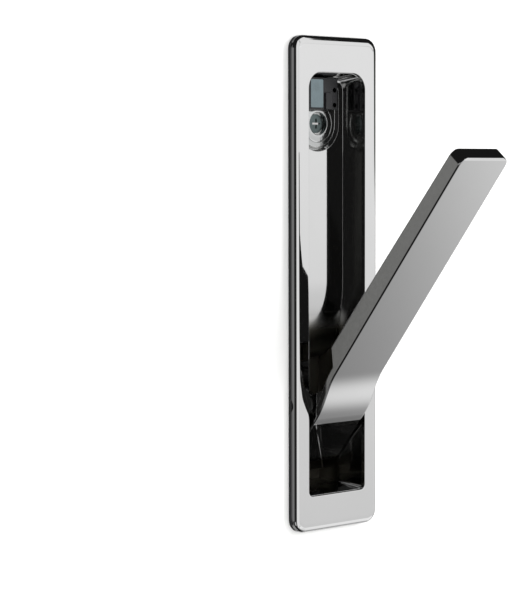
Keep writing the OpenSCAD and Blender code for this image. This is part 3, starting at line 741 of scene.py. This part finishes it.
def swing_open(points):
    """Takes (x, ahead of the pin, above the pin) to frame axes, turned out by the open angle."""
    a = math.radians(OPEN_ANGLE)
    ahead, above = points[..., 1], points[..., 2]
    y = -ahead * math.cos(a) - above * math.sin(a)
    z = -ahead * math.sin(a) + above * math.cos(a)
    return np.stack([points[..., 0], PIVOT[1] + y, PIVOT[2] + z], -1)


def capped(sections):
    """A loft's points and faces with both ends closed by a fan to the end section's middle."""
    rows, cols = sections.shape[:2]
    points = np.concatenate([sections.reshape(-1, 3), [sections[0].mean(0)], [sections[-1].mean(0)]])
    i = np.arange(cols)
    j = (i + 1) % cols
    low = np.stack([j, i, np.full(cols, rows * cols)], -1)
    high = np.stack([(rows - 1) * cols + i, (rows - 1) * cols + j, np.full(cols, rows * cols + 1)], -1)
    return points, [surface(sections)[1], low, high]


def slab_across(outline, x_low, x_high):
    """A plate standing across X with eased edges, from an outline of (ahead, above) points."""
    loops = []
    for x, inset in ((x_low, EAR_EASE), (x_low + EAR_EASE, 0), (x_high - EAR_EASE, 0), (x_high, EAR_EASE)):
        ring = outline + inward(outline) * inset
        loops.append(np.concatenate([np.full((len(ring), 1), x), ring], 1))
    return capped(np.stack(loops))


EAR_R, EAR_T, EAR_TOP, EAR_LOW, EAR_ROOT = 4.4, 2.5, 12.5, 9.5, 1.2
EAR_EASE, WASHER_T, WASHER_PLAY = 0.25, 0.45, 0.08
EAR_X = SEAT_X - WASHER_T - WASHER_PLAY - EAR_T
BUSH_HOLE_R = 2.88


def ear_outline():
    """Round the pin at the back, and up and down to the curved plate in front."""
    back = np.radians(np.linspace(90, 270, 25))
    along = np.linspace(-EAR_LOW, EAR_TOP, 24)
    plate_side = np.stack([front_at(along) - EAR_ROOT, along], -1)
    return np.concatenate([np.stack([EAR_R * np.cos(back), EAR_R * np.sin(back)], -1), plate_side])


lever_parts = [capped(lever_sections())]
for low in (EAR_X, -EAR_X - EAR_T):
    lever_parts.append(slab_across(ear_outline(), low, low + EAR_T))
lever_parts = [(swing_open(points), faces) for points, faces in lever_parts]
lever = add_piece("lever_arm_casting", lever_parts, ["lever"], bright_chrome, 50, "lever_arm")
cut_with(lever, bar_along_x(BUSH_HOLE_R, PLATE_W / 2))

# %% [markdown]
# The front is polished flat, but the sides keep the casting's slight unevenness under the plating.
# Only faces that look almost straight sideways take that finish, so the rounded edges stay bright.

# %% Finish of the lever's sides
STRAIGHT_SIDEWAYS = 0.98
finish_by_side(lever, STRAIGHT_SIDEWAYS, PLATE_W, cast_chrome, cast_chrome)

# %% [markdown]
# ## Gasket
# A thin black ring lies between the skirt and the wall, set in a little. Only its edge shows, as the
# dark line that lets the plate float, but its corners are round like the plate's.

# %% Gasket surface
GASKET_INSET, GASKET_RING, GASKET_EASE = 0.1, 2.2, 0.1
near, far = SKIRT_DEPTH, -FRONT_Y
inner = GASKET_INSET + GASKET_RING
gasket_rings = np.stack([plate_ring(inset, depth) for inset, depth in (
    (inner, near), (GASKET_INSET + GASKET_EASE, near), (GASKET_INSET, near + GASKET_EASE),
    (GASKET_INSET, far - GASKET_EASE), (GASKET_INSET + GASKET_EASE, far), (inner, far))])
add_piece("gasket", [surface(gasket_rings, ends_meet=True)], ["wall_gasket"], black_rubber)

# %% [markdown]
# ## Fixing plate, cup and screw
# A round-ended zinc plate lies in the pocket and carries the catch and the fixing screw. Round the
# screw it rises to a shallow cone, which the cup carries on inwards to a lip, and the screw's head
# lies deep inside the lip. The cone was turned, so fine streaks run outwards from the axis: noise
# that is read at the direction from the axis alone gives them.

# %% Streaked zinc
STREAK_SCALE, STREAK_DEPTH = 9.0, 0.03


def streak_from_axis(material):
    """Adds streaks along the radius: noise of the direction from the screw's axis, as a bump."""
    nodes, links = material.node_tree.nodes, material.node_tree.links
    coords = nodes.new("ShaderNodeTexCoord")
    centred = nodes.new("ShaderNodeMapping")
    centred.inputs["Location"].default_value = (0, 0, -FIX_Z * MM)
    centred.inputs["Scale"].default_value = (1, 0, 1)
    outwards = nodes.new("ShaderNodeVectorMath")
    outwards.operation = "NORMALIZE"
    streaks = nodes.new("ShaderNodeTexNoise")
    streaks.inputs["Scale"].default_value = STREAK_SCALE
    streaks.inputs["Detail"].default_value = 3.0
    links.new(coords.outputs["Object"], centred.inputs["Vector"])
    links.new(centred.outputs["Vector"], outwards.inputs[0])
    links.new(outwards.outputs["Vector"], streaks.inputs["Vector"])
    add_bump(nodes, links, streaks.outputs["Fac"], STREAK_DEPTH)


turned_zinc = metal("turned_zinc", (0.74, 0.75, 0.75), (0.66, 0.67, 0.67), (0.12, 0.20),
                    (150, 0.006), (2500, 0.001))
streak_from_axis(turned_zinc)
print("streaks", STREAK_DEPTH, "mm deep")

# %% Fixing plate surface
FIX_IN, FIX_T = POCKET_LEAN + 0.15, 1.2
DISH_R = 7.0
CONE_R, CONE_FOOT, CONE_SLOPE = 8.3, SEAT - 1.1, math.tan(math.radians(9.0))


def cone(r):
    """Depth of the turned front at a distance from the axis: it rises evenly towards the axis."""
    return CONE_FOOT - CONE_SLOPE * np.maximum(CONE_R - r, 0)


fixing_rings = round_axis(
    [DISH_R, DISH_R, DISH_R + 0.05, 7.6, CONE_R, pocket_reach(FIX_IN + 0.2),
     pocket_reach(FIX_IN + 0.05), pocket_reach(FIX_IN), pocket_reach(FIX_IN)],
    [SEAT, cone(DISH_R) + 0.05, cone(DISH_R + 0.05), cone(7.6), CONE_FOOT, CONE_FOOT + 0.02,
     CONE_FOOT + 0.09, CONE_FOOT + 0.25, SEAT])
fixing_surface = surface(fixing_rings, ends_meet=True)
add_piece("round_ended_plate", [fixing_surface], ["fixing_plate"], turned_zinc, 30)

# %% Cup and screw surfaces
HEAD_R, NECK_R, THREAD_R, HEAD_H = 3.5, 1.7, 2.0, 1.5
SCREW_TOP = SEAT - FIX_T + 0.8
SCREW_L, POINT_L, THREAD_PITCH, THREAD_D = 10.5, 3.0, 1.6, 0.35
LIP_R, LIP_EDGE, CUP_HOLE_R, CUP_R = 4.4, 0.3, 3.9, DISH_R - 0.03
slope = np.array([CUP_R - 0.05, 6.2, 5.3, LIP_R])
lip_turn = np.radians(np.linspace(80, 0, 6))
cup_rings = round_axis(
    [CUP_HOLE_R, CUP_R, CUP_R, *slope, *(LIP_R - LIP_EDGE * np.cos(lip_turn)), CUP_HOLE_R],
    [SEAT - 0.02, SEAT - 0.02, cone(CUP_R) + 0.05, *cone(slope),
     *(cone(LIP_R) + LIP_EDGE * (1 - np.sin(lip_turn))), SEAT - 0.3])
add_piece("dished_cup", [surface(cup_rings, ends_meet=True)], ["screw_cup"], turned_zinc, 50)


def thread_profile():
    """Radius and depth along the screw: a faintly domed head, its cone, the neck, then a wood
    thread as a triangle wave with flat roots, and the point."""
    neck_end = SEAT + WALL + 0.1
    point = SCREW_TOP + SCREW_L - POINT_L
    depth = np.linspace(neck_end, point, 49)
    wave = np.abs(((depth - neck_end) / THREAD_PITCH) % 1 - 0.5) * 2
    thread_r = THREAD_R - THREAD_D * np.clip(wave * 1.3, 0, 1)
    head_r = np.array([0, 1.2, 2.4, 3.2, HEAD_R, HEAD_R, NECK_R, NECK_R])
    head_d = np.array([-0.12, -0.1, -0.03, 0.02, 0.1, 0.22, HEAD_H, neck_end - SCREW_TOP]) + SCREW_TOP
    return (np.concatenate([head_r, thread_r, [THREAD_R - 0.4, 0]]),
            np.concatenate([head_d, depth, [point + 0.2, SCREW_TOP + SCREW_L]]))


screw_r, screw_depth = thread_profile()
screw_surface = surface(round_axis(screw_r, np.maximum(screw_depth, SCREW_TOP)))
screw = add_piece("countersunk_screw", [screw_surface], ["fixing_screw"], screw_steel)
CROSS_L, CROSS_W, CROSS_D = 3.6, 0.7, 1.2
head_y = FRONT_Y + SCREW_TOP
for half_x, half_z in ((CROSS_L / 2, CROSS_W / 2), (CROSS_W / 2, CROSS_L / 2)):
    low, high = (-half_x, head_y - 1, FIX_Z - half_z), (half_x, head_y + CROSS_D, FIX_Z + half_z)
    cut_with(screw, block(low, high))

# %% [markdown]
# ## Catch
# The catch is a black holder with a bluish metal face let into its left half and a small pad beside
# it. Its blocks are all made alike: a rounded outline that draws in towards its front.

# %% Catch surfaces
holder_low, holder_high = corners("catch_holder")
magnet_low, magnet_high = corners("catch_magnet")
BASE_STEP, FRAME_T, PAD_GAP, PAD_H, RIVET_STRIP = 0.8, 0.4, 1.3, 6.2, 3.2


def eased_block(low, high, corner, edge):
    """A block on the floor: its outline's corners and its front edge are rounded. The last loop
    keeps the shading of its flat front flat."""
    half_w, rear_y, front_y = (high[0] - low[0]) / 2, high[1], low[1]
    loops = [(edge, rear_y), (0, rear_y), (0, front_y + edge)]
    for a in np.radians((30, 60, 90)):
        loops.append((edge * (1 - math.cos(a)), front_y + edge * (1 - math.sin(a))))
    loops.append((edge + 0.06, front_y))
    rings = []
    for inset, y in loops:
        ring = rounded_outline(half_w - inset, high[2] - inset, low[2] + inset, corner, corner)
        rings.append(np.stack([ring[:, 0] + (low[0] + high[0]) / 2, y + 0 * ring[:, 0], ring[:, 1]], -1))
    return capped(np.stack(rings))


base_y, foot_y = holder_low[1] + BASE_STEP, magnet_high[1]
pad_y = foot_y - 0.1
foot_top = POCKET_TOP - FIX_IN
left, low, right, high = holder_low[0], holder_low[2], holder_high[0], holder_high[2]
blocks = [
    eased_block((left, base_y, low), (right, foot_y, high), 0.6, 0.2),
    eased_block((left, pad_y, low), (right, holder_high[1], foot_top), 0.6, 0.05),
    eased_block((PAD_GAP, holder_low[1], low), (right - RIVET_STRIP, pad_y, low + PAD_H), 0.4, 0.2),
]
add_piece("catch_body", blocks, ["catch_holder"], black_plastic, 35)
frame_block = eased_block(holder_low, (FRAME_T, pad_y, high), 0.4, 0.15)
surround = add_piece("catch_surround", [frame_block], [], black_plastic, 35)
window_rim = np.array([0.03, 5, 0.03])
cut_with(surround, block(magnet_low - window_rim, magnet_high + window_rim))
face_block = eased_block(magnet_low, magnet_high, 0.4, 0.15)
add_piece("catch_face", [face_block], ["catch_magnet"], nickel, 35)

# %% [markdown]
# ## Small parts that keep their solids
# The pin, clips, washers, bushes, rivets, plate screws and the rubber stop have the right shape in
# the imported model, so they only get their finishes.

# %% Finishes of the small parts
kept = {
    "plate_screws": zinc_plate, "pivot_pin": turned_steel, "retaining_clips": turned_steel,
    "thrust_washer_left": black_nylon, "thrust_washer_right": black_nylon, "catch_rivets": black_plastic,
    "stop_buffer": black_rubber, "ear_bush_left": black_nylon, "ear_bush_right": black_nylon,
    "strike_plate": nickel, "strike_rivets": turned_steel,
}
for node_name, material in kept.items():
    data = frame["nodes"][node_name].data
    data.materials.clear()
    data.materials.append(material)
print("kept nodes", len(kept))

# %% [markdown]
# ## Stage
# The hook is let into a wall, so the stage is a white sheet with a cut-out that the gasket covers, and
# a pale floor below. Both are left out of reflections, because what the chrome mirrors is a studio
# of its own, which is set in the next step.

# %% Wall sheet and floor
def flat_stage(name, points, faces):
    """A stage piece in metres with a plain white finish, not seen in reflections."""
    mesh = bpy.data.meshes.new(name)
    mesh.from_pydata(points, [], faces)
    sheet = bpy.data.objects.new(name, mesh)
    bpy.context.scene.collection.objects.link(sheet)
    mesh.materials.append(stage_white)
    sheet.visible_glossy = False


stage_white, stage_nodes, _ = new_material("stage_white")
matt = stage_nodes["Principled BSDF"].inputs
matt["Base Color"].default_value = (0.86, 0.86, 0.855, 1)
matt["Roughness"].default_value = 0.9
matt["Specular IOR Level"].default_value = 0.0

CUT_HALF_W, CUT_HALF_H, CUT_R = 17.5, 86.5, 2.0
WALL_HALF_W, WALL_TOP, WALL_LOW = 420.0, 330.0, -260.0
cut_out = rounded_outline(CUT_HALF_W, CUT_HALF_H, -CUT_HALF_H, CUT_R, CUT_R)
sheet_edge = rounded_outline(WALL_HALF_W, WALL_TOP, WALL_LOW, CUT_R, CUT_R)
wall_rings = [on_plate(ring, y - FRONT_Y) for ring, y in (
    (cut_out, 0), (sheet_edge, 0), (sheet_edge, 1.0), (cut_out, 1.0))]
wall_points, wall_faces = surface(np.stack(wall_rings), ends_meet=True)
flat_stage("wall_sheet", (wall_points.reshape(-1, 3) * MM).tolist(), wall_faces.tolist())
FLOOR_HALF, FLOOR_Z = 2.5, WALL_LOW * MM
floor_signs = ((-1, -1), (1, -1), (1, 1), (-1, 1))
flat_stage("floor", [(x * FLOOR_HALF, y * FLOOR_HALF, FLOOR_Z) for x, y in floor_signs], [(0, 1, 2, 3)])
print("wall cut-out", 2 * CUT_HALF_W, "x", 2 * CUT_HALF_H, "mm, floor at", FLOOR_Z, "m")

# %% [markdown]
# ## Studio
# A mirror shows the studio, so the studio is the real finish. The surroundings are painted by
# direction: a broad soft panel to the right of the hook, dark round the camera and overhead, a grey
# room behind, and a paler floor. Plain light for matt surfaces is even and soft, from everywhere.

# %% Surroundings by direction
world = bpy.data.worlds.new("studio")
bpy.context.scene.world = world
world.use_nodes = True
wn, wl = world.node_tree.nodes, world.node_tree.links
wn.clear()


def world_math(operation, *values):
    """One Math node; its values are sockets or numbers."""
    node = wn.new("ShaderNodeMath")
    node.operation = operation
    for socket, value in zip(node.inputs, values):
        if isinstance(value, (int, float)):
            socket.default_value = value
        else:
            wl.new(value, socket)
    return node.outputs[0]


def ramp(value, start, end, low=0.0, high=1.0):
    """Smooth step of a value in degrees, from low at start to high at end."""
    return ranged(wn, wl, value, start, end, low, high, "SMOOTHSTEP")


def window(value, rise, full, fade, gone):
    """One between full and fade, and nothing below rise and above gone."""
    return world_math("MULTIPLY", ramp(value, rise, full), ramp(value, fade, gone, 1.0, 0.0))


def times(*values):
    """Product of sockets and numbers."""
    product = values[0]
    for value in values[1:]:
        product = world_math("MULTIPLY", product, value)
    return product


def brightest(*values):
    """The brightest of several lights."""
    most = values[0]
    for value in values[1:]:
        most = world_math("MAXIMUM", most, value)
    return most


DEGREES = 180 / math.pi
axes = wn.new("ShaderNodeSeparateXYZ")
wl.new(wn.new("ShaderNodeTexCoord").outputs["Generated"], axes.inputs[0])
towards_front = world_math("MULTIPLY", axes.outputs["Y"], -1.0)
azimuth = world_math("MULTIPLY", world_math("ARCTAN2", axes.outputs["X"], towards_front), DEGREES)
height = world_math("MULTIPLY", world_math("ARCSINE", axes.outputs["Z"]), DEGREES)
print("nodes for the direction", len(wn))

# %% [markdown]
# Azimuth is counted from straight ahead of the hook towards its right, and height from level, both
# in degrees. The main panel is what the flat front mirrors: its right edge slants, and its level
# falls off downwards. Low in front lies a pale floor that the lever mirrors, darker further down. The
# panels after these each give one edge or wall of the castings the light or the grey that it shows.

# %% Panels of light
def panel(across, up, strength):
    """A soft-edged panel: its strength inside a window of azimuth and a window of height."""
    return times(window(azimuth, *across), window(height, *up), strength)


slant = world_math("ADD", azimuth, world_math("MULTIPLY", height, 7.5))
level = world_math("ADD", ramp(height, -14, 5, 0.69, 0.905), ramp(height, 4, 5.5, 0, 0.12))
main_panel = times(ramp(azimuth, 10, 17), ramp(azimuth, 84, 100, 1, 0), ramp(slant, 73, 89, 1, 0),
                   ramp(height, -40, -30), level)
low_panel = times(ramp(azimuth, 10, 17), ramp(azimuth, 88, 94, 1, 0.1),
                  ramp(height, -49, -36, 0.275, 0.95), window(height, -62, -54, -26, -18))
rear_glow = times(brightest(ramp(azimuth, 118, 132), ramp(azimuth, -150, -160)),
                  window(height, -60, -30, 30, 50), 0.3)
low_rear = times(ramp(azimuth, -108, -125), ramp(height, -30, -42), 0.3)
floor_right = panel((91, 96, 150, 165), (-66, -56, -34, -26), 0.7)
side_glow = panel((-136, -125, -92, -62), (-20, -15, 8, 13), 0.2)
above = panel((8, 20, 50.3, 51.8), (3.5, 5.5, 38, 46), 0.88)
wall_glow = panel((-142, -136, -130, -122), (-60, -30, 14, 30), 0.205)
front_panel = panel((-13, -7, 10, 18), (-52, -44, 38, 46), 0.85)
left_panel = panel((-76, -66, -38, -28), (-50, -40, -26, -16), 0.5)
right_panel = panel((84, 92, 112, 140), (-18, -8, 12, 22), 0.35)
edge_glow = panel((-12, 0, 12, 20), (-35, -25, 20, 30), 0.06)
room_glow = panel((-75, -60, 0, 10), (-35, -25, 20, 30), 0.016)
ROOM = 0.010
seen = brightest(main_panel, low_panel, floor_right, side_glow, above, wall_glow, front_panel,
                 left_panel, right_panel, rear_glow, low_rear, edge_glow, room_glow, ROOM)
print("studio nodes", len(wn))

# %% [markdown]
# A matt surface would show soft patches of the panels, and the picture's white is even. So the kind
# of ray decides: the camera sees plain white, matt surfaces get even light from everywhere, and only
# mirrored rays meet the panels. One large soft lamp adds the faint shadow beside the hook.

# %% Light by kind of ray
PLAIN_LIGHT = 1.36
BACKDROP = 1.0
kind = wn.new("ShaderNodeLightPath")


def pick(factor, when_no, when_yes):
    """Chooses between two brightnesses by a 0 or 1 factor."""
    change = world_math("SUBTRACT", when_yes, when_no)
    return world_math("ADD", world_math("MULTIPLY", factor, change), when_no)


matt_or_mirror = pick(kind.outputs["Is Diffuse Ray"], seen, PLAIN_LIGHT)
strength = pick(kind.outputs["Is Camera Ray"], matt_or_mirror, BACKDROP)
background = wn.new("ShaderNodeBackground")
background.inputs["Color"].default_value = (1.0, 1.0, 1.0, 1)
wl.new(strength, background.inputs["Strength"])
output = wn.new("ShaderNodeOutputWorld")
wl.new(background.outputs[0], output.inputs["Surface"])

key_data = bpy.data.lights.new("soft_key", "AREA")
key_data.energy, key_data.shape, key_data.size, key_data.size_y = 6.0, "RECTANGLE", 0.5, 0.7
key = bpy.data.objects.new("soft_key", key_data)
key.location, key.rotation_euler = (0.75, -0.75, 0.35), (math.radians(72), 0, math.radians(45))
key.visible_glossy = False
bpy.context.scene.collection.objects.link(key)
bpy.context.scene.view_settings.view_transform = "Standard"
print("lamp", key_data.energy, "W")

# %% [markdown]
# ## Camera
# The picture was taken from the left, close to the wall's own height, with a long lens. The position
# and the turn come from fitting the plate's edges and the opening in the picture.

# %% Camera
camera_data = bpy.data.cameras.new("camera")
camera_data.lens, camera_data.sensor_width, camera_data.sensor_fit = 114.3, 36.0, "AUTO"
camera_data.clip_start = 0.05
camera = bpy.data.objects.new("camera", camera_data)
camera.location = (-0.46833, -0.51869, 0.04190)
camera.rotation_euler = (math.radians(90 - 3.911), math.radians(0.15), math.radians(-40.0))
bpy.context.scene.collection.objects.link(camera)
bpy.context.scene.camera = camera
print("camera lens", camera_data.lens)
